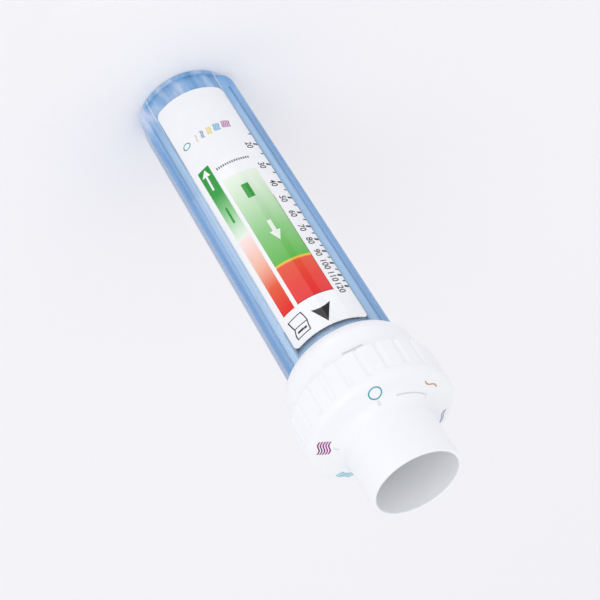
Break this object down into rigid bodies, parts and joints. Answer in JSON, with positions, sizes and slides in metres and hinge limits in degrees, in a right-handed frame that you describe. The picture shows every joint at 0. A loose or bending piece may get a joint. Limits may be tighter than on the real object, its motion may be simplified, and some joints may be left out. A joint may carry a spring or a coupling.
{
  "type": "inspiratory flow meter",
  "caption": "Handheld inspiratory flow meter: clear blue body with a scale label, a turning dial head that sets the inlet resistance, and a round mouthpiece.",
  "frame": {"origin": "bottom centre: on the flow axis in the plane of the flat far end", "axes": "+Z along the flow axis from the far end to the mouthpiece, -Y the way the label faces"},
  "size_m": [0.046, 0.046, 0.168],
  "materials": {
    "clear_blue": "clear blue moulded plastic, glossy",
    "label_film": "printed gloss film",
    "clear_plastic": "clear moulded plastic",
    "grey_plastic": "moulded",
    "steel_rod": "ground",
    "rubber_black": "matt",
    "spring_steel": "drawn and rolled",
    "vane_plastic": "moulded",
    "bush_plastic": "turned acetal",
    "cursor_red": "moulded",
    "iron": "turned",
    "weight_steel": "turned",
    "magnet": "sintered ferrite",
    "white_plastic": "moulded, satin"
  },
  "bodies": {
    "meter_body": {"front_shell": "clear_blue", "rear_shell": "clear_blue", "scale_label": "label_film", "inlet_cap": "grey_plastic", "metering_tube": "clear_plastic", "guide_rod": "steel_rod", "inlet_spider": "grey_plastic", "outlet_spider": "grey_plastic", "zero_buffer": "rubber_black", "stop_buffer": "rubber_black", "rod_clip": "spring_steel", "return_spring": "spring_steel", "parking_ring": "iron", "neck_collar": "white_plastic", "port_plate": "white_plastic", "port_seal": "rubber_black", "detent_spring": "spring_steel", "dial_spring": "spring_steel", "dial_clip": "spring_steel"},
    "piston": {"piston_vane": "vane_plastic", "piston_bush": "bush_plastic"},
    "cursor": {"cursor_ring": "cursor_red", "cursor_keeper": "iron"},
    "reset_weight": {"weight_sleeve": "weight_steel", "ring_magnet": "magnet"},
    "dial_head": {"dial_shell": "white_plastic", "aperture_disc": "white_plastic"}
  },
  "joints": [
    {"name": "piston_slide", "type": "slide", "parent": "meter_body", "child": "piston", "axis": [0, 0, 1], "range_m": [0, 0.09], "stiffness_N_per_m": 3, "springref_m": -0.006, "deforming": ["return_spring"]},
    {"name": "cursor_slide", "type": "slide", "parent": "meter_body", "child": "cursor", "axis": [0, 0, 1], "range_m": [0, 0.09]},
    {"name": "weight_slide", "type": "slide", "parent": "meter_body", "child": "reset_weight", "axis": [0, 0, 1], "range_m": [-0.09, 0]},
    {"name": "dial_turn", "type": "hinge", "parent": "meter_body", "child": "dial_head", "pos_m": [0, 0, 0.1376], "axis": [0, 0, 1], "range_deg": [0, 287.5], "deforming": ["detent_spring"]}
  ],
  "couplings": [
    {"joint": "cursor_slide", "follows": "piston_slide", "ratio": 1}
  ]
}
